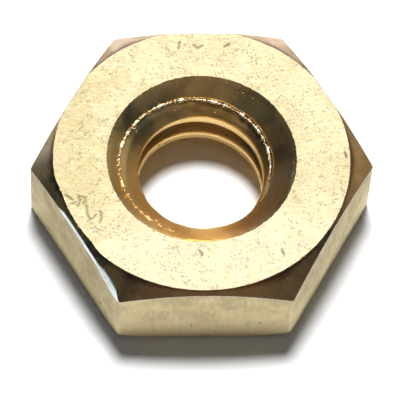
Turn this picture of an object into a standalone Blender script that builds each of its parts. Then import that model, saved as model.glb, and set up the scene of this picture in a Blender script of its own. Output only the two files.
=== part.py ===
"""Brass hexagon machine-screw nut, No. 10-24, modelled as one solid.

The nut lies flat on its bearing face. The frame's origin is the middle of that face, +Z runs up the
thread, two wrench flats face -Y and +Y, and two corners point along -X and +X.

The shape is made the way the real one is: a length of hexagon bar is turned on its end faces, drilled,
countersunk at both ends and tapped right through with a right-hand thread.
"""

import math

import bmesh
import bpy
from mathutils import Matrix, Vector

MM = 0.001

# Driving dimensions, in metres
ACROSS_FLATS = 9.525 * MM
THICKNESS = 2.98 * MM
MAJOR_DIAMETER = 4.826 * MM
MINOR_DIAMETER = 3.95 * MM
PITCH = 25.4 * MM / 24.0

CROWN_DIAMETER = 9.48 * MM
BASE_DIAMETER = 10.36 * MM
CHAMFER_ANGLE = math.radians(30.0)
TOP_COUNTERSINK_DIAMETER = 6.08 * MM
BASE_COUNTERSINK_DIAMETER = 5.20 * MM
COUNTERSINK_SLOPE = math.radians(42.0)

# The groove's middle lies this far under the top face, on the +Y side of the hole
GROOVE_DEPTH_AT_BACK = 0.562 * MM
THREAD_FLANK = math.radians(30.0)
ROOT_FLAT = PITCH / 8.0

# How finely round shapes are divided
TURNED_STEPS = 72
OVERCUT = 0.6 * MM
GROOVE_OVERLAP = 0.15 * MM
MERGE = 0.001 * MM
SHARP_EDGE = math.radians(20.0)

BRASS_COLOUR = (0.78, 0.64, 0.36, 1.0)
BRASS_ROUGHNESS = 0.34


def clear_scene():
    """Removes every object that the scene starts with."""
    for item in list(bpy.data.objects):
        bpy.data.objects.remove(item, do_unlink=True)


def new_collection(name):
    """Makes a collection in the scene."""
    collection = bpy.data.collections.new(name)
    bpy.context.scene.collection.children.link(collection)
    return collection


def brass():
    """Makes the nut's material, a plain satin brass."""
    material = bpy.data.materials.new("brass")
    material.use_nodes = True
    shader = material.node_tree.nodes["Principled BSDF"]
    shader.inputs["Base Color"].default_value = BRASS_COLOUR
    shader.inputs["Metallic"].default_value = 1.0
    shader.inputs["Roughness"].default_value = BRASS_ROUGHNESS
    return material


def object_from_bmesh(name, shape, collection):
    """Turns a finished bmesh into an object in a collection."""
    mesh = bpy.data.meshes.new(name)
    shape.to_mesh(mesh)
    shape.free()
    item = bpy.data.objects.new(name, mesh)
    collection.objects.link(item)
    return item


def hexagon_bar(name, collection):
    """Makes the hexagon blank, with corners on the X axis and flats facing along Y."""
    shape = bmesh.new()
    bmesh.ops.create_cone(
        shape,
        cap_ends=True,
        segments=6,
        radius1=ACROSS_FLATS / math.sqrt(3.0),
        radius2=ACROSS_FLATS / math.sqrt(3.0),
        depth=THICKNESS,
        matrix=Matrix.Translation((0.0, 0.0, THICKNESS / 2.0)) @ Matrix.Rotation(math.radians(30.0), 4, "Z"),
    )
    return object_from_bmesh(name, shape, collection)


def turned(name, profile, collection):
    """Turns a profile of (radius, height) points, listed from the top down, about the Z axis."""
    shape = bmesh.new()
    corners = [shape.verts.new((radius, 0.0, height)) for radius, height in profile]
    for upper, lower in zip(corners, corners[1:]):
        shape.edges.new((upper, lower))
    item = object_from_bmesh(name, shape, collection)
    screw = item.modifiers.new("turn", "SCREW")
    screw.axis = "Z"
    screw.steps = TURNED_STEPS
    screw.render_steps = TURNED_STEPS
    screw.use_merge_vertices = True
    screw.merge_threshold = MERGE
    return item


def turned_blank(collection):
    """Makes the round tool that leaves the crown's chamfer and the slightly broken base corners."""
    outside = ACROSS_FLATS / math.sqrt(3.0) + OVERCUT
    crown = CROWN_DIAMETER / 2.0
    base = BASE_DIAMETER / 2.0
    slope = math.tan(CHAMFER_ANGLE)
    return turned(
        "turned_blank",
        [
            (0.0, THICKNESS + OVERCUT),
            (crown - OVERCUT / slope, THICKNESS + OVERCUT),
            (outside, THICKNESS - (outside - crown) * slope),
            (outside, (outside - base) * slope),
            (base - OVERCUT / slope, -OVERCUT),
            (0.0, -OVERCUT),
        ],
        collection,
    )


def drill(collection):
    """Makes the round tool for the tapping hole and the countersink at each end of it."""
    hole = MINOR_DIAMETER / 2.0
    top = TOP_COUNTERSINK_DIAMETER / 2.0
    base = BASE_COUNTERSINK_DIAMETER / 2.0
    slope = math.tan(COUNTERSINK_SLOPE)
    return turned(
        "drill",
        [
            (0.0, THICKNESS + OVERCUT),
            (top + OVERCUT / slope, THICKNESS + OVERCUT),
            (hole, THICKNESS - (top - hole) * slope),
            (hole, (base - hole) * slope),
            (base + OVERCUT / slope, -OVERCUT),
            (0.0, -OVERCUT),
        ],
        collection,
    )


def tap(collection):
    """Makes the helical ridge that cuts the thread groove from below the base to above the top face."""
    inner = MINOR_DIAMETER / 2.0 - GROOVE_OVERLAP
    outer = MAJOR_DIAMETER / 2.0
    half_root = ROOT_FLAT / 2.0
    half_mouth = half_root + (outer - inner) * math.tan(THREAD_FLANK)
    turns = math.ceil(THICKNESS / PITCH) + 2
    steps = turns * TURNED_STEPS
    back_height = THICKNESS - GROOVE_DEPTH_AT_BACK
    start_height = back_height - PITCH / 4.0 - (turns - 1) * PITCH

    shape = bmesh.new()
    outline = [(inner, half_mouth), (outer, half_root), (outer, -half_root), (inner, -half_mouth)]
    corners = [shape.verts.new((radius, 0.0, start_height + height)) for radius, height in outline]
    edges = [shape.edges.new((corners[k], corners[(k + 1) % len(corners)])) for k in range(len(corners))]
    bmesh.ops.spin(
        shape,
        geom=corners + edges,
        cent=Vector((0.0, 0.0, 0.0)),
        axis=Vector((0.0, 0.0, 1.0)),
        dvec=Vector((0.0, 0.0, PITCH / TURNED_STEPS)),
        angle=math.tau * turns,
        steps=steps,
        use_merge=False,
    )
    open_edges = [edge for edge in shape.edges if edge.is_boundary]
    bmesh.ops.holes_fill(shape, edges=open_edges, sides=len(outline))
    bmesh.ops.recalc_face_normals(shape, faces=shape.faces)
    return object_from_bmesh("tap", shape, collection)


def machine(item, tool, operation):
    """Cuts an object with a tool and hides the tool."""
    cut = item.modifiers.new(tool.name, "BOOLEAN")
    cut.operation = operation
    cut.object = tool
    cut.solver = "EXACT"
    tool.hide_render = True
    tool.display_type = "WIRE"


def shade(item):
    """Keeps the machined shape as the object's own mesh, with smooth round walls and sharp edges."""
    machined = item.evaluated_get(bpy.context.evaluated_depsgraph_get())
    mesh = bpy.data.meshes.new_from_object(machined)
    item.modifiers.clear()
    item.data = mesh
    mesh.shade_smooth()
    mesh.set_sharp_from_angle(angle=SHARP_EDGE)


def build_nut():
    """Builds the nut and its tools."""
    nut_collection = new_collection("hex_nut")
    tool_collection = new_collection("cutters")
    nut = hexagon_bar("nut_body", nut_collection)
    machine(nut, turned_blank(tool_collection), "INTERSECT")
    machine(nut, drill(tool_collection), "DIFFERENCE")
    machine(nut, tap(tool_collection), "DIFFERENCE")
    shade(nut)
    nut.data.materials.clear()
    nut.data.materials.append(brass())


clear_scene()
build_nut()
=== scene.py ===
"""The looks of a brass hexagon machine-screw nut.

The nut is one piece of brass. Its skin is laid out by a geometry node tree as bands that run all the way
round the thread's axis: base, base break, wrench flats, broken edge, crown chamfer, top face and threaded
hole. A second tree lays the torn burr where the thread breaks into the countersink. The finishes are turned,
drawn and tapped brass, with painted light and shade in several of them and a bluish-white painted
highlight on the broken crown edge, and the nut lies on a pale table under a soft light.
"""

import logging
import math
from dataclasses import dataclass
from enum import Enum
from typing import Any, Union

import bpy
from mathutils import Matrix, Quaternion, Vector


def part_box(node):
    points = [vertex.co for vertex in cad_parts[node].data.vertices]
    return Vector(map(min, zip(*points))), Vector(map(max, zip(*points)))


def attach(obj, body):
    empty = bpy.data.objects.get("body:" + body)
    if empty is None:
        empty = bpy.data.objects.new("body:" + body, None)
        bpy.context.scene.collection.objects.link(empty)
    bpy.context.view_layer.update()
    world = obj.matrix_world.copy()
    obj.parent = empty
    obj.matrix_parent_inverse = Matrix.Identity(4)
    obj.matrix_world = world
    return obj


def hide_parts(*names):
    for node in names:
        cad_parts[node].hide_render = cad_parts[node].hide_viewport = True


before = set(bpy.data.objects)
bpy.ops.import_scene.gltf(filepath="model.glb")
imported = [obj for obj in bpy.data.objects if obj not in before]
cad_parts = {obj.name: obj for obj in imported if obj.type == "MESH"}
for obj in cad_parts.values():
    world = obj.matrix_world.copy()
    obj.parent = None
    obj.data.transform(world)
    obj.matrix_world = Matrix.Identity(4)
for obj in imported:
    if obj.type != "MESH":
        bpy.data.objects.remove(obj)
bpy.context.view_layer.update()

LOG = logging.getLogger("hex_nut")
MM = 0.001
SQRT3 = math.sqrt(3.0)

Colour = tuple[float, float, float, float]


class Band(Enum):
    """The bands of the nut's skin, which take different finishes."""

    TURNED = 0
    CHAMFER = 1
    FLAT = 2
    BORE = 3
    BASE = 4
    EDGE = 5


# ---------------------------------------------------------------------------------------------------------
# Node trees as arithmetic


class Value:
    """A number or a vector that flows through a node tree and takes ordinary arithmetic."""

    def __init__(self, graph: "Graph", socket: bpy.types.NodeSocket) -> None:
        """Remembers where the value comes from.

        Args:
            graph: The tree that the value belongs to.
            socket: The output that carries it.
        """
        self.graph = graph
        self.socket = socket

    def __add__(self, other: "Number") -> "Value":
        """Adds a number."""
        return self.graph.math("ADD", self, other)

    def __radd__(self, other: "Number") -> "Value":
        """Adds to a number."""
        return self.graph.math("ADD", other, self)

    def __sub__(self, other: "Number") -> "Value":
        """Takes a number away."""
        return self.graph.math("SUBTRACT", self, other)

    def __rsub__(self, other: "Number") -> "Value":
        """Takes this away from a number."""
        return self.graph.math("SUBTRACT", other, self)

    def __mul__(self, other: "Number") -> "Value":
        """Multiplies by a number."""
        return self.graph.math("MULTIPLY", self, other)

    def __truediv__(self, other: "Number") -> "Value":
        """Divides by a number."""
        return self.graph.math("DIVIDE", self, other)

    def __pow__(self, other: "Number") -> "Value":
        """Raises to a power."""
        return self.graph.math("POWER", self, other)


Number = Union[Value, float]


class Graph:
    """Builds one node tree, for a shader or for geometry, from arithmetic on values."""

    def __init__(self, tree: bpy.types.NodeTree) -> None:
        """Starts on a tree.

        Args:
            tree: The node tree to build.
        """
        self.tree = tree
        self.entry = None

    def node(self, kind: str, **settings: Any) -> bpy.types.Node:
        """Adds a node.

        Args:
            kind: The node's type name.
            **settings: The node's own properties.

        Returns:
            The new node.
        """
        made = self.tree.nodes.new(kind)
        for name, setting in settings.items():
            setattr(made, name, setting)
        return made

    @staticmethod
    def in_use(sockets: Any) -> list[bpy.types.NodeSocket]:
        """Gives the sockets that a node's settings leave in use."""
        return [socket for socket in sockets if socket.enabled]

    def feed(self, socket: bpy.types.NodeSocket, value: Any) -> None:
        """Sets an input, by a link or as a plain setting.

        Args:
            socket: The input.
            value: A value of this tree, or a plain number, vector, colour or material.
        """
        if isinstance(value, Value):
            self.tree.links.new(value.socket, socket)
        else:
            socket.default_value = value

    def call(self, kind: str, feeds: dict[str, Any], out: str | None = None, **settings: Any) -> Value:
        """Adds a node, feeds its inputs by name and takes one output.

        Args:
            kind: The node's type name.
            feeds: What goes into each named input.
            out: The output's name, if it isn't the first in use.
            **settings: The node's own properties.

        Returns:
            The output.
        """
        made = self.node(kind, **settings)
        inputs = self.in_use(made.inputs)
        for name, value in feeds.items():
            self.feed(next(socket for socket in inputs if socket.name == name), value)
        outputs = self.in_use(made.outputs)
        return Value(self, next(socket for socket in outputs if out in (None, socket.name)))

    def math(self, operation: str, *terms: Any, kind: str = "ShaderNodeMath") -> Value:
        """Adds a Math or Vector Math node.

        Args:
            operation: The node's operation.
            *terms: Its inputs, in order.
            kind: The node's type name.

        Returns:
            The result.
        """
        made = self.node(kind, operation=operation)
        for socket, term in zip(self.in_use(made.inputs), terms):
            self.feed(socket, term)
        return Value(self, self.in_use(made.outputs)[0])

    def vector_math(self, operation: str, *terms: Any) -> Value:
        """Adds a Vector Math node."""
        return self.math(operation, *terms, kind="ShaderNodeVectorMath")

    def combine(self, x: Number, y: Number, z: Number) -> Value:
        """Makes a vector of three numbers."""
        return self.call("ShaderNodeCombineXYZ", {"X": x, "Y": y, "Z": z})

    def separate(self, vector: Value) -> tuple[Value, Value, Value]:
        """Splits a vector into its three numbers."""
        first = self.call("ShaderNodeSeparateXYZ", {"Vector": vector})
        return tuple(Value(self, output) for output in first.socket.node.outputs)

    def noise(self, vector: Value, scale: Number, detail: float = 2.0, roughness: float = 0.5) -> Value:
        """Reads smooth noise, about 0.5 on average.

        Args:
            vector: Where the noise is read.
            scale: How many grains there are in a unit.
            detail: How many finer octaves are added.
            roughness: How strong those are.

        Returns:
            The noise.
        """
        feeds = {"Vector": vector, "Scale": scale, "Detail": detail, "Roughness": roughness}
        return self.call("ShaderNodeTexNoise", feeds)

    def ramp(self, value: Value, low: Number, high: Number, start: Number = 0.0, end: Number = 1.0) -> Value:
        """Maps low to high on to start to end, smoothly, and holds the ends.

        Args:
            value: What is mapped.
            low: The value that gives start.
            high: The value that gives end.
            start: The result at and below low.
            end: The result at and above high.

        Returns:
            The mapped value.
        """
        feeds = {"Value": value, "From Min": low, "From Max": high, "To Min": start, "To Max": end}
        return self.call("ShaderNodeMapRange", feeds, interpolation_type="SMOOTHSTEP")

    def blend(self, amount: Number, first: Any, second: Any) -> Value:
        """Mixes two colours by an amount."""
        feeds = {"Factor": amount, "A": first, "B": second}
        return self.call("ShaderNodeMix", feeds, data_type="RGBA")

    def entry_value(self, name: str, kind: str, default: Any = None) -> Value:
        """Adds a named input to the tree.

        Args:
            name: The input's name.
            kind: Float, Int, Vector, Object or Material.
            default: Its value where nothing is fed to it.

        Returns:
            The input, as a value inside the tree.
        """
        made = self.tree.interface.new_socket(name, in_out="INPUT", socket_type="NodeSocket" + kind)
        if default is not None:
            made.default_value = default
        if self.entry is None:
            self.entry = self.node("NodeGroupInput")
        return Value(self, self.entry.outputs[name])

    def entries(self, inputs: dict[str, Any]) -> dict[str, Value]:
        """Adds a named input for each thing that will be fed in.

        Args:
            inputs: The inputs' names and what goes into them.

        Returns:
            Each input, as a value inside the tree.
        """
        kinds = {int: "Int", float: "Float", bpy.types.Object: "Object", bpy.types.Material: "Material"}
        return {name: self.entry_value(name, kinds[type(value)]) for name, value in inputs.items()}

    def stored(self, geometry: Value, name: str, value: Any, domain: str, kind: str = "FLOAT") -> Value:
        """Stores a named attribute on a mesh.

        Args:
            geometry: The mesh.
            name: The attribute's name.
            value: Its value.
            domain: POINT or FACE.
            kind: FLOAT or INT.

        Returns:
            The mesh with the attribute.
        """
        feeds = {"Geometry": geometry, "Name": name, "Value": value}
        return self.call("GeometryNodeStoreNamedAttribute", feeds, data_type=kind, domain=domain)

    def exits(self, **results: tuple[str, Value]) -> None:
        """Adds the tree's named outputs.

        Args:
            **results: For each output, its kind and the value it gives.
        """
        for name, (kind, _) in results.items():
            self.tree.interface.new_socket(name, in_out="OUTPUT", socket_type="NodeSocket" + kind)
        door = self.node("NodeGroupOutput")
        for name, (_, value) in results.items():
            self.tree.links.new(value.socket, door.inputs[name])


def sizes(item: Any, *names: str) -> dict[str, Any]:
    """Gives an item's fields as a tree's named inputs, with crown_radius as Crown Radius."""
    return {name.replace("_", " ").title(): getattr(item, name) for name in names}


def placed(data: bpy.types.ID) -> bpy.types.Object:
    """Puts a mesh, light or camera in the scene.

    Args:
        data: What the object holds.

    Returns:
        The object, which takes the data's name.
    """
    item = bpy.data.objects.new(data.name, data)
    bpy.context.scene.collection.objects.link(item)
    return item


def grown(name: str, tree: bpy.types.NodeTree, inputs: dict[str, Any]) -> bpy.types.Object:
    """Runs a geometry node tree and keeps its result as a plain mesh object.

    Args:
        name: The new object's name.
        tree: The geometry node tree.
        inputs: What goes into the tree's named inputs.

    Returns:
        The object, at the origin, with no modifier left on it.
    """
    item = placed(bpy.data.meshes.new(name))
    modifier = item.modifiers.new(name, "NODES")
    modifier.node_group = tree
    for socket in tree.interface.items_tree:
        if socket.in_out == "INPUT" and socket.name in inputs:
            modifier[socket.identifier] = inputs[socket.name]
    item.update_tag()
    evaluated = item.evaluated_get(bpy.context.evaluated_depsgraph_get())
    mesh = bpy.data.meshes.new_from_object(evaluated)
    item.modifiers.remove(modifier)
    item.data = mesh
    mesh.name = name
    return item


# ---------------------------------------------------------------------------------------------------------
# Finishes


class SharedEffects:
    """The shader node groups that more than one finish uses."""

    def __init__(self) -> None:
        """Builds each group once."""
        self.pits = self._pits()
        self.streaks = self._streaks()
        self.turning = self._turning()
        self.patches = self._patches()

    @staticmethod
    def _start(name: str, scale: float) -> tuple[Graph, Value, Value]:
        """Starts a shader node group that takes a place and a scale."""
        graph = Graph(bpy.data.node_groups.new(name, "ShaderNodeTree"))
        return graph, graph.entry_value("Vector", "Vector"), graph.entry_value("Scale", "Float", scale)

    def _pits(self) -> bpy.types.NodeTree:
        """Makes scattered small pits of mixed size.

        Returns:
            The group, with the pits' mask as its output.
        """
        graph, place, scale = self._start("pits", 6.0)
        share = graph.entry_value("Share", "Float", 0.5)
        fewest, gain, clustering, softness = 0.74, 0.16, 0.35, 0.07
        spread = graph.noise(place, scale * 0.2, 2.0)
        fine = graph.noise(place, scale, 3.0, 0.6)
        edge = fewest - share * gain - (spread - 0.5) * clustering
        graph.exits(Mask=("Float", graph.ramp(fine, edge, edge + softness)))
        return graph.tree

    def _streaks(self) -> bpy.types.NodeTree:
        """Makes fine lines that run along one axis.

        Returns:
            The group, with the lines' height as its output.
        """
        graph, place, scale = self._start("streaks", 8.0)
        stretch = graph.entry_value("Stretch", "Vector", (1.0, 1.0, 1.0))
        drawn = graph.vector_math("MULTIPLY", place, stretch)
        graph.exits(Lines=("Float", graph.noise(drawn, scale, 4.0, 0.65)))
        return graph.tree

    def _turning(self) -> bpy.types.NodeTree:
        """Makes the fine rings that a turning tool leaves round the axis.

        Returns:
            The group, with the rings' height as its output.
        """
        graph, place, scale = self._start("turning_rings", 12.0)
        x, y, z = graph.separate(place)
        radius = graph.math("SQRT", x * x + y * y)
        rings = graph.noise(graph.combine(radius, z, 0.0), scale, 3.0, 0.7)
        graph.exits(Rings=("Float", rings))
        return graph.tree

    def _patches(self) -> bpy.types.NodeTree:
        """Makes broad uneven patches, for tarnish and handling.

        Returns:
            The group, with the patches' mask as its output.
        """
        graph, place, scale = self._start("patches", 0.5)
        graph.exits(Mask=("Float", graph.ramp(graph.noise(place, scale, 4.0, 0.6), 0.36, 0.64)))
        return graph.tree


@dataclass(frozen=True)
class PaintedLight:
    """Painted light and shade that sets in along one axis.

    Attributes:
        axis: 0, 1 or 2 for X, Y or Z.
        start: Where it sets in, in millimetres.
        end: Where it has come to its full amount.
        amount: How much it dulls the metal there, as painted shade, or brightens it as painted light where
            it is below 0.
    """

    axis: int
    start: float
    end: float
    amount: float


@dataclass(frozen=True)
class BrassFinish:
    """One finish of the brass.

    Attributes:
        name: The material's name.
        clean: The colour of clean metal.
        dull: The colour of tarnished metal, which painted shade also pushes the metal towards.
        pit_colour: The colour inside a pit or a scratch.
        rim_colour: The colour along the crown's edge and, as painted shade, down in the thread's groove, if
            it isn't clean's.
        dullness: How much of the surface has dulled, from 0 to 1.
        roughness: How blurred reflections are, from the clean metal to the dull.
        patch_scale: How many patches fit in a millimetre, about.
        pit_share: How much of the surface is pitted.
        pit_scale: How many pits fit in a millimetre, about.
        pit_strength: How strongly the pits are coloured.
        pit_depth: The depth of the pits, in millimetres.
        stretch: How lines are drawn out along each axis.
        line_scale: How many machining lines fit in a millimetre, about.
        line_tint: How strongly those lines are coloured.
        line_depth: Their depth, in millimetres.
        rings: Whether the lines run round the axis, as turned metal has them.
        painted_lights: Painted light and shade along the axes, which darken or brighten the metal.
        scratch_strength: How strongly scratches are coloured.
        rim_break: The heights of the machining lines between which the rim's colour comes through.
        rim_least: How strong the rim's colour is between the lines.
        patch_weight: How much of the roughness follows the patches, where the lines give the rest.
    """

    name: str
    clean: Colour
    dull: Colour
    pit_colour: Colour
    rim_colour: Colour | None = None
    dullness: float = 0.6
    roughness: tuple[float, float] = (0.3, 0.5)
    patch_scale: float = 0.8
    pit_share: float = 0.4
    pit_scale: float = 6.0
    pit_strength: float = 0.8
    pit_depth: float = 0.008
    stretch: tuple[float, float, float] = (1.0, 1.0, 1.0)
    line_scale: float = 6.0
    line_tint: float = 0.6
    line_depth: float = 0.004
    rings: bool = False
    painted_lights: tuple[PaintedLight, ...] = ()
    scratch_strength: float = 0.85
    rim_break: tuple[float, float] = (0.3, 0.55)
    rim_least: float = 0.35
    patch_weight: float = 0.6

    def make(self, effects: SharedEffects) -> bpy.types.Material:
        """Builds the material.

        Args:
            effects: The shared node groups.

        Returns:
            The material.
        """
        material = bpy.data.materials.new(self.name)
        material.use_nodes = True
        graph = Graph(material.node_tree)
        shader = material.node_tree.nodes["Principled BSDF"]
        shader.inputs["Metallic"].default_value = 1.0

        place = graph.vector_math("SCALE", graph.call("ShaderNodeTexCoord", {}, "Object"), 1.0 / MM)
        feeds = {"Vector": place, "Scale": self.patch_scale}
        patches = graph.call("ShaderNodeGroup", feeds, "Mask", node_tree=effects.patches)
        feeds = {"Vector": place, "Scale": self.pit_scale, "Share": self.pit_share}
        pits = graph.call("ShaderNodeGroup", feeds, "Mask", node_tree=effects.pits)
        feeds = {"Vector": place, "Scale": self.line_scale}
        if self.rings:
            lines = graph.call("ShaderNodeGroup", feeds, "Rings", node_tree=effects.turning)
        else:
            feeds["Stretch"] = self.stretch
            lines = graph.call("ShaderNodeGroup", feeds, "Lines", node_tree=effects.streaks)
        scratch = graph.call("ShaderNodeAttribute", {}, "Fac", attribute_name="scratch")
        # The rim attribute carries the crown chamfer's dark upper edge and the painted shade down in the
        # thread's groove.
        rim = graph.call("ShaderNodeAttribute", {}, "Fac", attribute_name="rim")

        tarnish_and_painted_shade = patches * self.dullness + (lines - 0.5) * self.line_tint
        axes = graph.separate(place)
        # Painted light and shade along the axes is added to the tarnish patches and lines here.
        for fade in self.painted_lights:
            tarnish_and_painted_shade = tarnish_and_painted_shade + graph.ramp(axes[fade.axis], fade.start, fade.end, 0.0, fade.amount)
        metal = graph.blend(graph.ramp(tarnish_and_painted_shade, 0.0, 1.0), self.clean, self.dull)
        broken = graph.ramp(lines, *self.rim_break, self.rim_least, 1.0)
        edged = graph.blend(rim * broken, metal, self.rim_colour or self.clean)
        worn = graph.math("MAXIMUM", pits * self.pit_strength, scratch * self.scratch_strength)
        graph.feed(shader.inputs["Base Color"], graph.blend(worn, edged, self.pit_colour))

        low, high = self.roughness
        uneven = patches * self.patch_weight + lines * (1.0 - self.patch_weight)
        rough = graph.ramp(uneven, 0.15, 0.85, low, high)
        graph.feed(shader.inputs["Roughness"], rough)

        bump = graph.node("ShaderNodeBump")
        bump.inputs["Strength"].default_value = 1.0
        bump.inputs["Distance"].default_value = MM
        graph.feed(bump.inputs["Height"], lines * self.line_depth - pits * self.pit_depth)
        material.node_tree.links.new(bump.outputs["Normal"], shader.inputs["Normal"])
        return material


TURNED_TOP = BrassFinish(
    name="turned_brass",
    clean=(0.80, 0.72, 0.52, 1.0),
    dull=(0.66, 0.57, 0.32, 1.0),
    pit_colour=(0.22, 0.20, 0.08, 1.0),
    dullness=0.08,
    roughness=(0.765, 0.795),
    pit_share=0.80,
    pit_scale=13.0,
    patch_scale=1.2,
    stretch=(0.6, 1.5, 1.0),
    line_scale=9.0,
    line_tint=2.0,
    line_depth=0.003,
    # Painted light and shade: the top face lighter towards its front edge and darker towards the left.
    painted_lights=(PaintedLight(1, -3.6, -1.4, 0.38), PaintedLight(0, -1.0, -4.2, 0.20)),
    pit_strength=0.22,
)
CHAMFER_CUT = BrassFinish(
    name="chamfer_brass",
    clean=(0.74, 0.49, 0.23, 1.0),
    dull=(0.50, 0.33, 0.13, 1.0),
    pit_colour=(0.16, 0.09, 0.04, 1.0),
    rim_colour=(0.20, 0.08, 0.05, 1.0),
    roughness=(0.22, 0.32),
    pit_share=0.15,
    pit_scale=5.0,
    patch_scale=1.6,
    line_scale=9.0,
    line_depth=0.003,
    rings=True,
)
# Painted highlight: the broken crown edge is coloured bluish-white, for a bluish-white reflection.
EDGE_HIGHLIGHT = BrassFinish(
    name="rubbed_brass",
    clean=(0.84, 0.90, 0.88, 1.0),
    dull=(0.62, 0.70, 0.66, 1.0),
    pit_colour=(0.30, 0.26, 0.18, 1.0),
    dullness=0.5,
    roughness=(0.26, 0.36),
    pit_share=0.6,
)
DRAWN_FLATS = BrassFinish(
    name="drawn_brass",
    clean=(1.0, 0.87, 0.55, 1.0),
    dull=(0.56, 0.46, 0.27, 1.0),
    pit_colour=(0.44, 0.26, 0.17, 1.0),
    dullness=0.12,
    roughness=(0.68, 0.78),
    pit_share=0.28,
    pit_scale=3.6,
    patch_scale=1.3,
    stretch=(1.5, 1.5, 0.45),
    line_scale=5.0,
    line_depth=0.006,
    pit_depth=0.010,
    # Painted light and shade: the flats darker on the left and right and towards the top, so lighter at the
    # base.
    painted_lights=(PaintedLight(0, -2.3, -3.3, 0.36), PaintedLight(0, 2.3, 3.3, 0.18), PaintedLight(2, 0.2, 2.0, 0.35)),
)
TAPPED_BORE = BrassFinish(
    name="tapped_brass",
    clean=(0.92, 0.67, 0.29, 1.0),
    dull=(0.34, 0.23, 0.11, 1.0),
    pit_colour=(0.20, 0.12, 0.05, 1.0),
    # Painted shade down in the thread's groove.
    rim_colour=(0.62, 0.38, 0.12, 1.0),
    dullness=0.22,
    roughness=(0.28, 0.40),
    pit_scale=5.0,
    line_scale=9.0,
    line_depth=0.002,
    pit_depth=0.006,
    # Painted light and shade: the hole darker on the right, lighter at the back and lighter deep down.
    painted_lights=(PaintedLight(0, -0.2, 1.7, 0.72), PaintedLight(1, 0.2, 1.8, -0.45), PaintedLight(2, 2.45, 2.10, -0.50)),
    rings=True,
)
TORN_BURR = BrassFinish(
    name="torn_brass",
    clean=(0.97, 0.86, 0.66, 1.0),
    dull=(0.96, 0.66, 0.30, 1.0),
    pit_colour=(0.50, 0.32, 0.16, 1.0),
    dullness=0.2,
    roughness=(0.36, 0.50),
    pit_share=0.1,
    line_scale=8.0,
    line_depth=0.001,
    pit_depth=0.0,
    # Painted golden glints: the torn edge turns golden towards the front.
    painted_lights=(PaintedLight(1, 0.5, -0.5, 0.8),),
)


# ---------------------------------------------------------------------------------------------------------
# The nut


@dataclass(frozen=True)
class Scratches:
    """Scratches and tool marks in the top face, as short strokes.

    Attributes:
        width: How far a stroke's groove reaches to each side.
        floor: The share of that which is as deep as the groove gets.
        depth: How deep it is.
        skin_depth: How far below the top face the marks fade out and are whole.
        strokes: Each stroke's points on the top face, in millimetres from the thread's axis.
    """

    width: float = 0.046 * MM
    floor: float = 0.25
    depth: float = 0.030 * MM
    skin_depth: tuple[float, float] = (0.08 * MM, 0.04 * MM)
    strokes: tuple[tuple[tuple[float, float], ...], ...] = (
        ((-3.70, -1.68), (-3.67, -2.03), (-3.59, -2.20), (-3.46, -2.12), (-3.41, -2.02)),
        ((-3.26, -1.92), (-3.23, -2.12), (-3.29, -2.32)),
        ((-3.99, -1.73), (-3.89, -1.50), (-3.95, -1.32)),
        ((-3.80, -1.62), (-3.72, -1.45), (-3.84, -1.36)),
        ((-4.35, -1.32), (-4.22, -1.41), (-4.14, -1.50)),
        ((-4.18, -1.62), (-4.02, -1.58)),
        ((-0.18, -3.33), (-0.10, -3.42), (-0.09, -3.51)),
        ((2.42, -3.34), (2.50, -3.50)),
        ((-0.16, 4.20), (-0.03, 4.07), (0.16, 4.18)),
        ((-0.60, 4.33), (-0.64, 4.05)),
        ((0.84, 4.12), (1.02, 4.22)),
        ((4.60, 0.15), (4.63, -0.02)),
    )

    def build(self, height: float) -> bpy.types.Object:
        """Makes the strokes as bare edges, for the nut's tree to measure from.

        Args:
            height: The height of the top face.

        Returns:
            A helper object, which is removed once the nut is made.
        """
        points = []
        edges = []
        for stroke in self.strokes:
            for number, (x, y) in enumerate(stroke):
                if number:
                    edges.append((len(points) - 1, len(points)))
                points.append((x * MM, y * MM, height))
        mesh = bpy.data.meshes.new("scratch_lines")
        mesh.from_pydata(points, edges, [])
        return placed(mesh)

    def press(self, graph: Graph, size: dict[str, Value], skin: Value) -> Value:
        """Presses the scratches into the top face and marks where they are.

        Args:
            graph: The nut's tree.
            size: The tree's named inputs.
            skin: The nut's skin.

        Returns:
            The scratched skin.
        """
        width = size["Scratch Width"]
        strokes = graph.call("GeometryNodeObjectInfo", {"Object": size["Scratch Lines"]}, "Geometry")
        feeds = {"Geometry": strokes}
        distance = graph.call("GeometryNodeProximity", feeds, "Distance", target_element="EDGES")
        _, _, height = graph.separate(graph.call("GeometryNodeInputPosition", {}))
        fade, whole = self.skin_depth
        on_face = graph.ramp(height, size["Thickness"] - fade, size["Thickness"] - whole)
        groove = graph.ramp(distance, width * self.floor, width, 1.0, 0.0) * on_face
        skin = graph.stored(skin, "scratch", groove, "POINT")
        pressed = graph.combine(0.0, 0.0, groove * size["Scratch Depth"] * -1.0)
        return graph.call("GeometryNodeSetPosition", {"Geometry": skin, "Offset": pressed})


@dataclass(frozen=True)
class Wander:
    """How a cut edge strays from its true line.

    Attributes:
        width: How far it strays, from one side to the other.
        scale: How many times it does so in a unit of the way.
        detail: How many finer octaves are added.
        roughness: How strong those are.
    """

    width: float
    scale: float
    detail: float
    roughness: float = 0.5

    def share(self, graph: Graph, place: Value) -> Value:
        """Reads how much of its width the edge strays at a place, from -0.5 to 0.5."""
        return graph.noise(place, self.scale, self.detail, self.roughness) - 0.5


@dataclass(frozen=True)
class Arc:
    """A stretch of the way round the nut.

    Attributes:
        azimuth: Its middle, in degrees from +X towards +Y.
        least: The cosine of the angle from there at which it ends.
        most: The cosine of the angle within which it has its full strength.
    """

    azimuth: float
    least: float
    most: float

    def strength(self, graph: Graph, cosine: Value, sine: Value) -> Value:
        """Rises from 0 to 1 within the arc, for the direction with this cosine and sine."""
        turn = math.radians(self.azimuth)
        return graph.ramp(cosine * math.cos(turn) + sine * math.sin(turn), self.least, self.most)


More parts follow.
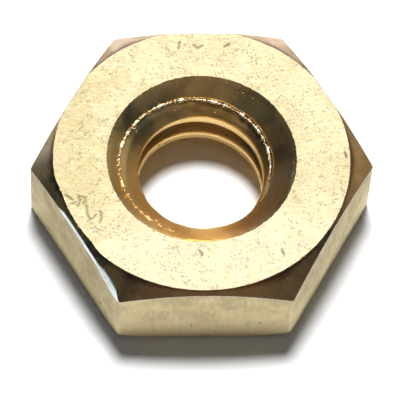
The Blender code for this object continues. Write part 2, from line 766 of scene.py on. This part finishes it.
@dataclass(frozen=True)
class CrownWear:
    """How the crown is chewed at the left and its lower edge broken wider at the front left, where the edge
    band takes a painted highlight.

    Attributes:
        chewed: The chewed stretch.
        chew_depth: How far the crown is cut in there.
        chew_raggedness: How much more its edge strays there.
        rubbed: The rubbed stretch.
        corner: The part of it by the corner, where it is widest.
        broken_width: The width of the broken edge all the way round.
        rubbed_width: How much wider it is where it is rubbed.
        corner_width: How much wider again by the corner.
        slope: How steeply the rubbed edge drops.
    """

    chewed: Arc = Arc(-153.0, 0.94, 0.985)
    chew_depth: float = 0.10 * MM
    chew_raggedness: float = 2.0
    rubbed: Arc = Arc(-139.5, 0.935, 0.957)
    corner: Arc = Arc(-123.0, 0.985, 0.999)
    broken_width: float = 0.005 * MM
    rubbed_width: float = 0.055 * MM
    corner_width: float = 0.10 * MM
    slope: float = 1.155

    def edge_width(self, graph: Graph, cosine: Value, sine: Value) -> Value:
        """Gives the broken edge's width in the direction with this cosine and sine."""
        width = self.corner.strength(graph, cosine, sine) * self.corner_width + self.rubbed_width
        return self.rubbed.strength(graph, cosine, sine) * width + self.broken_width


@dataclass(frozen=True)
class ThreadStart:
    """Where the thread first breaks into the countersink, on a spiral that opens out to the left.

    Attributes:
        inset: How far in from the countersink's rim it lies at the back.
        spread: How much nearer the rim it comes with each quarter turn.
        least_inset: How near the rim it comes at most.
        rounding: How gently it settles there.
        tear_depth: How deep the cone is torn just below the spiral.
        tear_near: How far below the spiral the tear is at its full depth.
        tear_far: How far below it the tear starts and ends to run out.
        tear_first: The turns between which the tear sets in.
        tear_last: The turns between which it dies away.
    """

    inset: float = 0.600 * MM
    spread: float = 0.215 * MM
    least_inset: float = 0.400 * MM
    rounding: float = 0.06 * MM
    tear_depth: float = 0.07 * MM
    tear_near: float = 0.03 * MM
    tear_far: tuple[float, float] = (0.07 * MM, 0.22 * MM)
    tear_first: tuple[float, float] = (-0.06, 0.02)
    tear_last: tuple[float, float] = (0.50, 0.70)

    @staticmethod
    def turn(graph: Graph, around: Value) -> Value:
        """Counts turns from -0.25 to 0.75 where around counts them from 0 to 1."""
        return graph.math("FRACT", around + 0.25) - 0.25

    def reach(self, graph: Graph, turn: Value, rim: Number) -> Value:
        """Gives the spiral's radius at a turn, from the radius of the rim."""
        opened = (turn - 0.25) * (self.spread * 4.0) + (rim - self.inset)
        return graph.math("SMOOTH_MIN", opened, rim - self.least_inset, self.rounding)

    def torn(self, graph: Graph, turn: Value, below: Value) -> Value:
        """Gives how deep the cone is torn.

        Args:
            graph: The tree.
            turn: The turn of the place.
            below: How far below the spiral it is.

        Returns:
            The depth of the tear.
        """
        trough = graph.ramp(below, 0.0, self.tear_near) * graph.ramp(below, *self.tear_far, 1.0, 0.0)
        lasting = graph.ramp(turn, *self.tear_first) * graph.ramp(turn, *self.tear_last, 1.0, 0.0)
        return trough * lasting * self.tear_depth


@dataclass
class NutBody:
    """The nut itself: hexagon bar, turned, drilled, countersunk and tapped.

    Attributes:
        low: The lowest corner of the solid it stands for.
        high: The highest corner of that solid.
        bar_shift: How far the bar's middle is off the thread's axis.
        groove_depth: How deep the first groove's middle is at the back.
        edge_roll: How far the top face rolls down at its edges.
        edge_roll_width: How wide the rolled edges are.
        roll_reach: How far the roll reaches down the countersink, in heights of the roll.
        least_cuts: The least widths of the crown's chamfer, of its ragged edge and of the base's chamfer,
            where they come nearest to the middle of a flat.
        dark_rim: The shares of the crown's chamfer between which its upper edge turns dark.
        ragged_depth: How far down the countersink its rim's raggedness reaches.
        shaded_groove_depth: The depth of groove that is painted dark all over, as painted shade.
        shaded_groove_edge: How far the wall may stand off the thread before its painted shade is gone.
        weld: How near two bands' points are merged.
    """

    low: Vector
    high: Vector
    crown_radius: float = 4.74 * MM
    base_radius: float = 5.18 * MM
    top_countersink_radius: float = 3.04 * MM
    base_countersink_radius: float = 2.60 * MM
    countersink_steepness: float = 0.90
    minor_radius: float = 2.015 * MM
    major_radius: float = 2.53 * MM
    root_flat: float = 0.03 * MM
    root_rounding: float = 0.03 * MM
    crest_rounding: float = 0.26 * MM
    pitch: float = 25.4 * MM / 24.0
    groove_depth: float = 0.562 * MM
    edge_roll: float = 0.016 * MM
    edge_roll_width: float = 0.40 * MM
    roll_reach: float = 8.0
    cut_rounding: float = 0.03 * MM
    least_cuts: tuple[float, float, float] = (0.02 * MM, 0.012 * MM, 0.03 * MM)
    bar_shift: tuple[float, float] = (0.02 * MM, -0.14 * MM)
    dark_rim: tuple[float, float] = (0.55, 0.85)
    ragged_depth: float = 0.15 * MM
    shaded_groove_depth: float = 0.05 * MM
    shaded_groove_edge: float = 0.03 * MM
    weld: float = 0.001 * MM
    crown_wander: Wander = Wander(0.08 * MM, 14.0, 5.0, 0.75)
    mouth_wander: Wander = Wander(0.10 * MM, 26.0, 4.0, 0.7)
    wear: CrownWear = CrownWear()
    start: ThreadStart = ThreadStart()
    scratches: Scratches = Scratches()
    columns: int = 560
    rows_per_pitch: int = 26

    @property
    def across_flats(self) -> float:
        """The width between two opposite flats."""
        return self.high.y - self.low.y

    @property
    def thickness(self) -> float:
        """The height of the nut."""
        return self.high.z - self.low.z

    def build(self, materials: dict[Band, bpy.types.Material]) -> bpy.types.Object:
        """Makes the nut's mesh.

        Args:
            materials: The finish of each band.

        Returns:
            The nut.
        """
        lines = self.scratches.build(self.thickness)
        inputs = {
            "Scratch Lines": lines,
            "Scratch Width": self.scratches.width,
            "Scratch Depth": self.scratches.depth,
            "Bore Rows": math.ceil(self.rows_per_pitch * (self.thickness + self.pitch) / self.pitch),
        }
        inputs |= sizes(self, "across_flats", "thickness", "crown_radius", "base_radius", "pitch")
        inputs |= sizes(self, "top_countersink_radius", "base_countersink_radius", "countersink_steepness")
        inputs |= sizes(self, "minor_radius", "major_radius", "root_flat", "groove_depth")
        inputs |= sizes(self, "edge_roll", "edge_roll_width", "columns", "rows_per_pitch")
        graph = Graph(bpy.data.node_groups.new("nut_skin", "GeometryNodeTree"))
        self._lay_skin(graph, graph.entries(inputs), materials)
        nut = grown("nut", graph.tree, inputs)
        bpy.data.objects.remove(lines)
        return nut

    def _lay_skin(
        self, graph: Graph, size: dict[str, Value], materials: dict[Band, bpy.types.Material]
    ) -> None:
        """Builds the node tree that lays out the nut's skin.

        Args:
            graph: The tree.
            size: The tree's named inputs.
            materials: The finish of each band.
        """
        top = size["Thickness"]
        roll = size["Edge Roll"]
        across, along, _ = graph.separate(graph.call("GeometryNodeInputPosition", {}))
        share = along + 0.5
        angle = (across + 0.5) * math.tau
        cosine = graph.math("COSINE", angle)
        sine = graph.math("SINE", angle)
        around = graph.combine(cosine, sine, 0.0)
        eased = 0.5 - graph.math("COSINE", share * math.pi) * 0.5

        def between(first: Number, last: Number) -> Value:
            """Runs from one place to another along a band, with the rows closer at its edges."""
            return first + (last - first) * eased

        least_crown, least_ragged, least_base = self.least_cuts
        chewed = self.wear.chewed.strength(graph, cosine, sine)
        rubbed = self.wear.edge_width(graph, cosine, sine)
        rougher = chewed * self.wear.chew_raggedness + 1.0
        ragged = self.crown_wander.share(graph, around) * rougher * self.crown_wander.width
        waver = self.mouth_wander.share(graph, around) * self.mouth_wander.width
        reach = self._hexagon(graph, cosine, sine, size["Across Flats"])
        over_crown = reach - size["Crown Radius"]
        over_base = reach - size["Base Radius"]
        clean_cut = graph.math("SMOOTH_MAX", over_crown, least_crown, self.cut_rounding)
        clean_cut = clean_cut + chewed * self.wear.chew_depth
        crown_cut = graph.math("MAXIMUM", clean_cut + ragged, least_ragged)
        base_cut = graph.math("SMOOTH_MAX", over_base, least_base, self.cut_rounding)
        crown_edge = reach - crown_cut
        base_edge = reach - base_cut
        mouth = size["Top Countersink Radius"] + waver

        # Both chamfers slope at 30 degrees, so a cut reaches down by its width over the root of 3.
        shoulder = top - clean_cut / SQRT3
        foot = base_cut / SQRT3
        face_radius = between(crown_edge, mouth)
        inset = graph.math("MINIMUM", crown_edge - face_radius, face_radius - mouth)
        sag = 1.0 - graph.math("MINIMUM", inset / size["Edge Roll Width"], 1.0)
        wall, wall_height, groove_shade = self._bore(graph, size, across, share, mouth)
        rolled = roll * graph.ramp(wall_height, top - roll * self.roll_reach, top)
        cut_radius = between(reach - rubbed, crown_edge)
        cut_level = graph.math("MINIMUM", shoulder + (reach - cut_radius) / SQRT3, top) - roll
        flat_top = shoulder - roll - rubbed * self.wear.slope
        edge_level = flat_top + rubbed * (self.wear.slope + 1.0 / SQRT3) * share
        face_level = graph.math("MINIMUM", shoulder + (reach - face_radius) / SQRT3, top)

        # Each band's finish, rows of faces, radius and height, from the base's hole outwards, up and back.
        bands = [
            (Band.BASE, 8, between(size["Base Countersink Radius"], base_edge), 0.0),
            (Band.BASE, 3, between(base_edge, reach), between(0.0, foot)),
            (Band.FLAT, 16, reach, between(foot, flat_top)),
            (Band.EDGE, 3, reach - rubbed * share, edge_level),
            (Band.CHAMFER, 10, cut_radius, cut_level),
            (Band.TURNED, 48, face_radius, face_level - roll * sag * sag),
            (Band.BORE, size["Bore Rows"], wall, wall_height - rolled),
        ]
        joined = graph.node("GeometryNodeJoinGeometry")
        for band, rows, radius, level in bands:
            feeds = {
                "Size X": 1.0,
                "Size Y": 1.0,
                "Vertices X": size["Columns"] + 1,
                "Vertices Y": rows + 1,
            }
            sheet = graph.call("GeometryNodeMeshGrid", feeds)
            if band is Band.CHAMFER:
                sheet = graph.stored(sheet, "rim", graph.ramp(share, *self.dark_rim), "POINT")
            if band is Band.BORE:
                # The thread's groove takes the rim colour as painted shade.
                sheet = graph.stored(sheet, "rim", groove_shade, "POINT")
            place = graph.combine(radius * cosine, radius * sine, level)
            sheet = graph.call("GeometryNodeSetPosition", {"Geometry": sheet, "Position": place})
            sheet = graph.stored(sheet, "band", band.value, "FACE", "INT")
            graph.tree.links.new(sheet.socket, joined.inputs[0])
        skin = Value(graph, joined.outputs[0])
        skin = graph.call("GeometryNodeMergeByDistance", {"Geometry": skin, "Distance": self.weld})
        skin = self.scratches.press(graph, size, skin)
        skin = graph.call("GeometryNodeSetShadeSmooth", {"Geometry": skin})
        skin = graph.call("GeometryNodeRealizeInstances", {"Geometry": skin})
        zone = graph.call("GeometryNodeInputNamedAttribute", {"Name": "band"}, "Attribute", data_type="INT")
        for band, material in materials.items():
            chosen = graph.math("COMPARE", zone, float(band.value), 0.1)
            feeds = {"Geometry": skin, "Selection": chosen, "Material": material}
            skin = graph.call("GeometryNodeSetMaterial", feeds)
        graph.exits(Geometry=("Geometry", skin))

    def _bore(
        self, graph: Graph, size: dict[str, Value], across: Value, share: Value, mouth: Value
    ) -> tuple[Value, Value, Value]:
        """Lays out the threaded hole, whose rows of faces climb with the thread.

        Args:
            graph: The tree.
            size: The tree's named inputs.
            across: How far round the axis a point is, from -0.5 to 0.5.
            share: How far down the band it is, from 0 to 1.
            mouth: The radius of the countersink's ragged rim.

        Returns:
            The wall's radius, its height and how much painted shade lies in the groove.
        """
        top = size["Thickness"]
        pitch = size["Pitch"]
        major = size["Major Radius"]
        rim = size["Top Countersink Radius"]
        steepness = size["Countersink Steepness"]
        climb = (1.0 - share) * size["Bore Rows"] / size["Rows Per Pitch"] * pitch - pitch
        helix_height = climb + pitch * (across + 0.5)
        height = graph.math("MAXIMUM", graph.math("MINIMUM", helix_height, top), 0.0)
        turns = (climb - (top - size["Groove Depth"] - pitch * 0.25)) / pitch
        off_groove = graph.math("ABSOLUTE", turns - graph.math("ROUND", turns)) * pitch
        flank = major - (off_groove - size["Root Flat"] * 0.5) * SQRT3
        rooted = graph.math("SMOOTH_MIN", flank, major, self.root_rounding)
        thread = graph.math("SMOOTH_MAX", rooted, size["Minor Radius"], self.crest_rounding)

        depth = top - height
        steadied = graph.ramp(depth, 0.0, self.ragged_depth)
        cone_top = mouth + (rim - mouth) * steadied - depth / steepness
        cone_base = size["Base Countersink Radius"] - height / steepness
        turn = self.start.turn(graph, across + 0.5)
        below = self.start.reach(graph, turn, rim) - cone_top
        torn = cone_top + self.start.torn(graph, turn, below)
        wall = graph.math("MAXIMUM", graph.math("MAXIMUM", thread, torn), cone_base)
        # Painted shade down in the thread's groove, which ends where the countersink or the tear stands off
        # the thread.
        groove_shade = graph.ramp(thread - size["Minor Radius"], 0.0, self.shaded_groove_depth)
        groove_shade = groove_shade * graph.ramp(wall - thread, 0.0, self.shaded_groove_edge, 1.0, 0.0)
        return wall, height, groove_shade

    def _hexagon(self, graph: Graph, cosine: Value, sine: Value, flats: Value) -> Value:
        """Gives the bar's radius in each direction, with its corners just broken.

        Args:
            graph: The tree.
            cosine: The direction's cosine.
            sine: The direction's sine.
            flats: The width across flats.

        Returns:
            The radius.
        """
        crispness = 260.0
        shift = Vector(self.bar_shift)
        total = None
        for number in range(6):
            turn = math.radians(30.0 + 60.0 * number)
            normal = Vector((math.cos(turn), math.sin(turn)))
            distance = flats * 0.5 + shift.dot(normal)
            facing = graph.math("MAXIMUM", cosine * normal.x + sine * normal.y, 0.0)
            term = (facing * (flats * 0.5) / distance) ** crispness
            total = term if total is None else total + term
        return flats * 0.5 * (total ** (-1.0 / crispness))


@dataclass
class ThreadBurr:
    """The torn edge and crumbs of brass that the tap leaves where the thread starts in the countersink.

    Attributes:
        nut: The nut it lies in.
        first_turn: The turn where it begins.
        last_turn: The turn where its last crumbs lie.
        wire_radius: The thickness of the torn edge, as a radius.
        wander: How the torn edge strays from the thread's spiral.
        thinning: The turns between which it thins out.
        ending: The turn from which it dies away.
        tip: How thick its ends are, as a share of the rest.
        gap: The noise at and below which the edge pinches into a gap.
        bead: The noise at and above which it swells into a bead.
        thinnest: How thick a gap is, as a share of the wire's radius.
        thickest: How thick a bead is.
        path_points: How many points it is laid along.
        sides: How many sides it has.
        crumbs: How many crumbs there are.
        crumb_size: The radius of a middling crumb.
        slimmest: The least size of a crumb along each of its axes, as a share.
        stoutest: The greatest.
        scatter: How far off the edge a crumb lies at most, along each axis.
        growing: The shares of the way between which the crumbs grow.
        growth: How much larger the last crumbs are.
        seed: What the crumbs' places are drawn from.
    """

    nut: NutBody
    first_turn: float = -0.03
    last_turn: float = 0.69
    wire_radius: float = 0.043 * MM
    wander: Wander = Wander(0.05 * MM, 90.0, 3.0)
    thinning: tuple[float, float] = (0.44, 0.52)
    ending: float = 0.60
    tip: float = 0.1
    gap: float = 0.42
    bead: float = 0.58
    thinnest: float = 0.12
    thickest: float = 1.35
    path_points: int = 900
    sides: int = 8
    crumbs: int = 70
    crumb_size: float = 0.026 * MM
    slimmest: tuple[float, float, float] = (0.3, 0.3, 0.25)
    stoutest: tuple[float, float, float] = (1.3, 1.3, 0.9)
    scatter: float = 0.06 * MM
    growing: tuple[float, float] = (0.62, 0.72)
    growth: float = 1.9
    seed: int = 4

    def build(self, material: bpy.types.Material) -> bpy.types.Object:
        """Makes the burr's mesh.

        Args:
            material: The finish of torn metal.

        Returns:
            The burr.
        """
        inputs = sizes(self, "first_turn", "last_turn", "wire_radius", "crumbs", "crumb_size", "seed")
        inputs |= {
            "Top": self.nut.thickness,
            "Rim Radius": self.nut.top_countersink_radius,
            "Steepness": self.nut.countersink_steepness,
            "Material": material,
        }
        graph = Graph(bpy.data.node_groups.new("thread_burr", "GeometryNodeTree"))
        self._lay(graph, graph.entries(inputs))
        return grown("thread_burr", graph.tree, inputs)

    def _lay(self, graph: Graph, size: dict[str, Value]) -> None:
        """Builds the node tree of the torn edge and its crumbs.

        Args:
            graph: The tree.
            size: The tree's named inputs.
        """
        share = graph.call("GeometryNodeSplineParameter", {}, "Factor")
        turn = size["First Turn"] + (size["Last Turn"] - size["First Turn"]) * share
        strayed = self.wander.share(graph, graph.combine(turn, 3.0, 0.0)) * self.wander.width
        radius = self.nut.start.reach(graph, turn, size["Rim Radius"]) + strayed
        height = size["Top"] - (size["Rim Radius"] - radius) * size["Steepness"]
        angle = turn * math.tau
        across = radius * graph.math("COSINE", angle)
        along = radius * graph.math("SINE", angle)
        place = graph.combine(across, along, height)
        line = graph.call("GeometryNodeCurvePrimitiveLine", {})
        path = graph.call("GeometryNodeResampleCurve", {"Curve": line, "Count": self.path_points})
        path = graph.call("GeometryNodeSetPosition", {"Geometry": path, "Position": place})

        # The edge swells into beads and pinches into gaps, and both shrink where it thins out.
        broken = graph.noise(graph.combine(turn, 0.0, 0.0), 42.0, 4.0, 0.6)
        faded = graph.ramp(turn, *self.thinning)
        least = self.thinnest - faded * 0.08
        most = self.thickest - faded * 0.30
        swell = graph.ramp(broken, self.gap + faded * 0.05, self.bead, least, most)
        thick = size["Wire Radius"] * swell * graph.ramp(turn, self.first_turn, 0.0, self.tip, 1.0)
        thick = thick * graph.ramp(turn, self.ending, self.last_turn, 1.0, self.tip)
        feeds = {"Resolution": self.sides, "Radius": 1.0}
        ring = graph.call("GeometryNodeCurvePrimitiveCircle", feeds, "Curve")
        feeds = {"Curve": path, "Profile Curve": ring, "Scale": thick, "Fill Caps": True}
        edge = graph.call("GeometryNodeCurveToMesh", feeds)

        dots = graph.call("GeometryNodeCurveToPoints", {"Curve": path, "Count": size["Crumbs"]}, "Points")
        scatter = self._random(graph, (-self.scatter,) * 3, (self.scatter,) * 3, size["Seed"])
        dots = graph.call("GeometryNodeSetPosition", {"Geometry": dots, "Offset": scatter})
        grain = graph.call("GeometryNodeMeshIcoSphere", {"Radius": 1.0, "Subdivisions": 2}, "Mesh")
        stretch = self._random(graph, self.slimmest, self.stoutest, size["Seed"] + 1.0)
        number = graph.call("GeometryNodeInputIndex", {})
        crumb = size["Crumb Size"] * graph.ramp(number / size["Crumbs"], *self.growing, 1.0, self.growth)
        scale = graph.vector_math("MULTIPLY", stretch, graph.combine(crumb, crumb, crumb))
        spin = self._random(graph, (0.0,) * 3, (math.tau,) * 3, size["Seed"] + 2.0)
        feeds = {"Points": dots, "Instance": grain, "Rotation": spin, "Scale": scale}
        grains = graph.call("GeometryNodeInstanceOnPoints", feeds)

        joined = graph.node("GeometryNodeJoinGeometry")
        for piece in (edge, grains):
            graph.tree.links.new(piece.socket, joined.inputs[0])
        whole = graph.call("GeometryNodeRealizeInstances", {"Geometry": Value(graph, joined.outputs[0])})
        whole = graph.call("GeometryNodeSetShadeSmooth", {"Geometry": whole})
        whole = graph.call("GeometryNodeSetMaterial", {"Geometry": whole, "Material": size["Material"]})
        graph.exits(Geometry=("Geometry", whole))

    @staticmethod
    def _random(graph: Graph, low: Any, high: Any, seed: Value) -> Value:
        """Draws a vector between two others for each point."""
        feeds = {"Min": low, "Max": high, "Seed": seed}
        return graph.call("FunctionNodeRandomValue", feeds, data_type="FLOAT_VECTOR")


# ---------------------------------------------------------------------------------------------------------
# Stage, light and camera


@dataclass(frozen=True)
class Card:
    """A soft-edged card or window in the room, which the metal mirrors.

    Attributes:
        azimuth: Where it stands, in degrees from +X towards +Y.
        elevation: How high its middle is, in degrees.
        inner: How far its full brightness reaches, in degrees.
        outer: Where it ends, in degrees.
        strength: How bright it is.
        colour: Its colour.
    """

    azimuth: float
    elevation: float
    inner: float
    outer: float
    strength: float
    colour: tuple[float, float, float]


def direction_to(azimuth: float, elevation: float) -> Vector:
    """Gives the direction of a point in the room.

    Args:
        azimuth: Where it is, in degrees from +X towards +Y.
        elevation: How high it is, in degrees.

    Returns:
        The direction, with a length of 1.
    """
    turn = math.radians(azimuth)
    rise = math.radians(elevation)
    return Vector((math.cos(turn) * math.cos(rise), math.sin(turn) * math.cos(rise), math.sin(rise)))


ROOM_COLOUR = (0.000, 0.015, 0.034)
ROOM_SEEN = (0.93, 0.94, 0.95, 1.0)
CARDS = (
    Card(-75.0, 83.0, 5.0, 13.0, 0.80, (1.0, 0.92, 0.76)),
    Card(32.0, 24.0, 8.0, 24.0, 0.42, (1.0, 0.88, 0.72)),
    Card(88.0, 4.0, 17.0, 27.0, 1.6, (0.84, 1.0, 1.6)),
    Card(134.0, 22.0, 6.0, 15.0, 0.85, (0.80, 1.0, 1.4)),
    Card(-90.0, 44.0, 16.0, 38.0, 0.12, (1.0, 0.64, 0.40)),
    Card(-150.0, 26.0, 5.0, 17.0, 0.10, (1.0, 0.90, 0.75)),
    Card(-38.0, 50.0, 8.0, 20.0, 0.08, (1.0, 0.84, 0.58)),
)


@dataclass(frozen=True)
class Studio:
    """The table, the light and the camera, which looks at aim.

    A place is an azimuth and an elevation in degrees, as a card's are. The roll is in degrees about the
    line of sight, the power in watts and the lens in millimetres.
    """

    floor_size: float = 3.0
    floor_colour: Colour = (0.86, 0.87, 0.88, 1.0)
    lamp_place: tuple[float, float] = (89.0, 71.5)
    lamp_distance: float = 0.40
    lamp_size: float = 0.092
    lamp_power: float = 2.1
    lamp_colour: tuple[float, float, float] = (0.98, 0.98, 0.975)
    aim: tuple[float, float, float] = (0.045 * MM, 0.074 * MM, 0.0)
    camera_place: tuple[float, float] = (-95.2, 61.45)
    camera_roll: float = 4.11
    camera_distance: float = 114.3 * MM
    camera_lens: float = 315.0

    def floor(self) -> bpy.types.Object:
        """Makes the pale table that the nut lies on.

        Returns:
            The table.
        """
        half = self.floor_size / 2.0
        corners = [(-half, -half, 0.0), (half, -half, 0.0), (half, half, 0.0), (-half, half, 0.0)]
        mesh = bpy.data.meshes.new("table_top")
        mesh.from_pydata(corners, [], [(0, 1, 2, 3)])
        material = bpy.data.materials.new("table_white")
        material.use_nodes = True
        shader = material.node_tree.nodes["Principled BSDF"]
        shader.inputs["Base Color"].default_value = self.floor_colour
        shader.inputs["Roughness"].default_value = 0.9
        shader.inputs["Specular IOR Level"].default_value = 0.1
        mesh.materials.append(material)
        return placed(mesh)

    def lamp(self) -> bpy.types.Object:
        """Makes a round soft light aimed at the nut.

        Returns:
            The light.
        """
        light = bpy.data.lights.new("key", "AREA")
        light.shape = "DISK"
        light.size = self.lamp_size
        light.energy = self.lamp_power
        light.color = self.lamp_colour
        item = placed(light)
        away = direction_to(*self.lamp_place)
        item.location = away * self.lamp_distance
        item.rotation_euler = away.to_track_quat("Z", "Y").to_euler()
        return item

    def surroundings(self) -> None:
        """Makes the room: pale where it is seen, and light and dark cards where it is mirrored."""
        world = bpy.data.worlds.new("studio")
        bpy.context.scene.world = world
        world.use_nodes = True
        world.node_tree.nodes.clear()
        graph = Graph(world.node_tree)
        direction = graph.call("ShaderNodeTexCoord", {}, "Generated")
        room = graph.combine(*ROOM_COLOUR)
        for card in CARDS:
            centre = tuple(direction_to(card.azimuth, card.elevation))
            facing = graph.vector_math("DOT_PRODUCT", direction, centre)
            lit = graph.ramp(facing, math.cos(math.radians(card.outer)), math.cos(math.radians(card.inner)))
            colour = tuple(card.strength * part for part in card.colour)
            glow = graph.vector_math("SCALE", colour, lit)
            room = graph.vector_math("ADD", room, glow)
        seen = graph.call("ShaderNodeLightPath", {}, "Is Camera Ray")
        mirrored = graph.call("ShaderNodeBackground", {"Color": room, "Strength": 1.0})
        plain = graph.call("ShaderNodeBackground", {"Color": ROOM_SEEN, "Strength": 1.0})
        mixed = graph.node("ShaderNodeMixShader")
        for socket, value in zip(mixed.inputs, (seen, mirrored, plain)):
            graph.feed(socket, value)
        out = graph.node("ShaderNodeOutputWorld")
        world.node_tree.links.new(mixed.outputs[0], out.inputs["Surface"])

    def camera(self) -> bpy.types.Object:
        """Makes the camera.

        Returns:
            The camera.
        """
        data = bpy.data.cameras.new("camera")
        data.lens = self.camera_lens
        data.sensor_width = 36.0
        data.clip_start = 0.001
        data.clip_end = 20.0
        item = placed(data)
        back = direction_to(*self.camera_place)
        item.location = Vector(self.aim) + back * self.camera_distance
        item.rotation_mode = "QUATERNION"
        roll = Quaternion((0.0, 0.0, 1.0), math.radians(self.camera_roll))
        item.rotation_quaternion = back.to_track_quat("Z", "Y") @ roll
        bpy.context.scene.camera = item
        return item


def report(piece: bpy.types.Object) -> None:
    """Logs a piece's name and how many triangles it has."""
    triangles = sum(len(face.vertices) - 2 for face in piece.data.polygons)
    LOG.info("%s: %d triangles", piece.name, triangles)


def main() -> None:
    """Builds the nut, its burr, their finishes and the studio."""
    logging.basicConfig(level=logging.INFO, format="%(name)s: %(message)s")
    bpy.context.scene.view_settings.view_transform = "Standard"
    effects = SharedEffects()
    turned = TURNED_TOP.make(effects)
    materials = {
        Band.TURNED: turned,
        Band.CHAMFER: CHAMFER_CUT.make(effects),
        Band.FLAT: DRAWN_FLATS.make(effects),
        Band.BORE: TAPPED_BORE.make(effects),
        Band.BASE: turned,
        # The broken edge takes the bluish-white painted highlight.
        Band.EDGE: EDGE_HIGHLIGHT.make(effects),
    }
    body = NutBody(*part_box("nut_body"))
    nut = body.build(materials)
    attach(nut, "root")
    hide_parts("nut_body")
    report(nut)
    burr = ThreadBurr(body).build(TORN_BURR.make(effects))
    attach(burr, "root")
    report(burr)

    studio = Studio()
    studio.floor()
    studio.surroundings()
    studio.lamp()
    studio.camera()


if __name__ == "__main__":
    main()
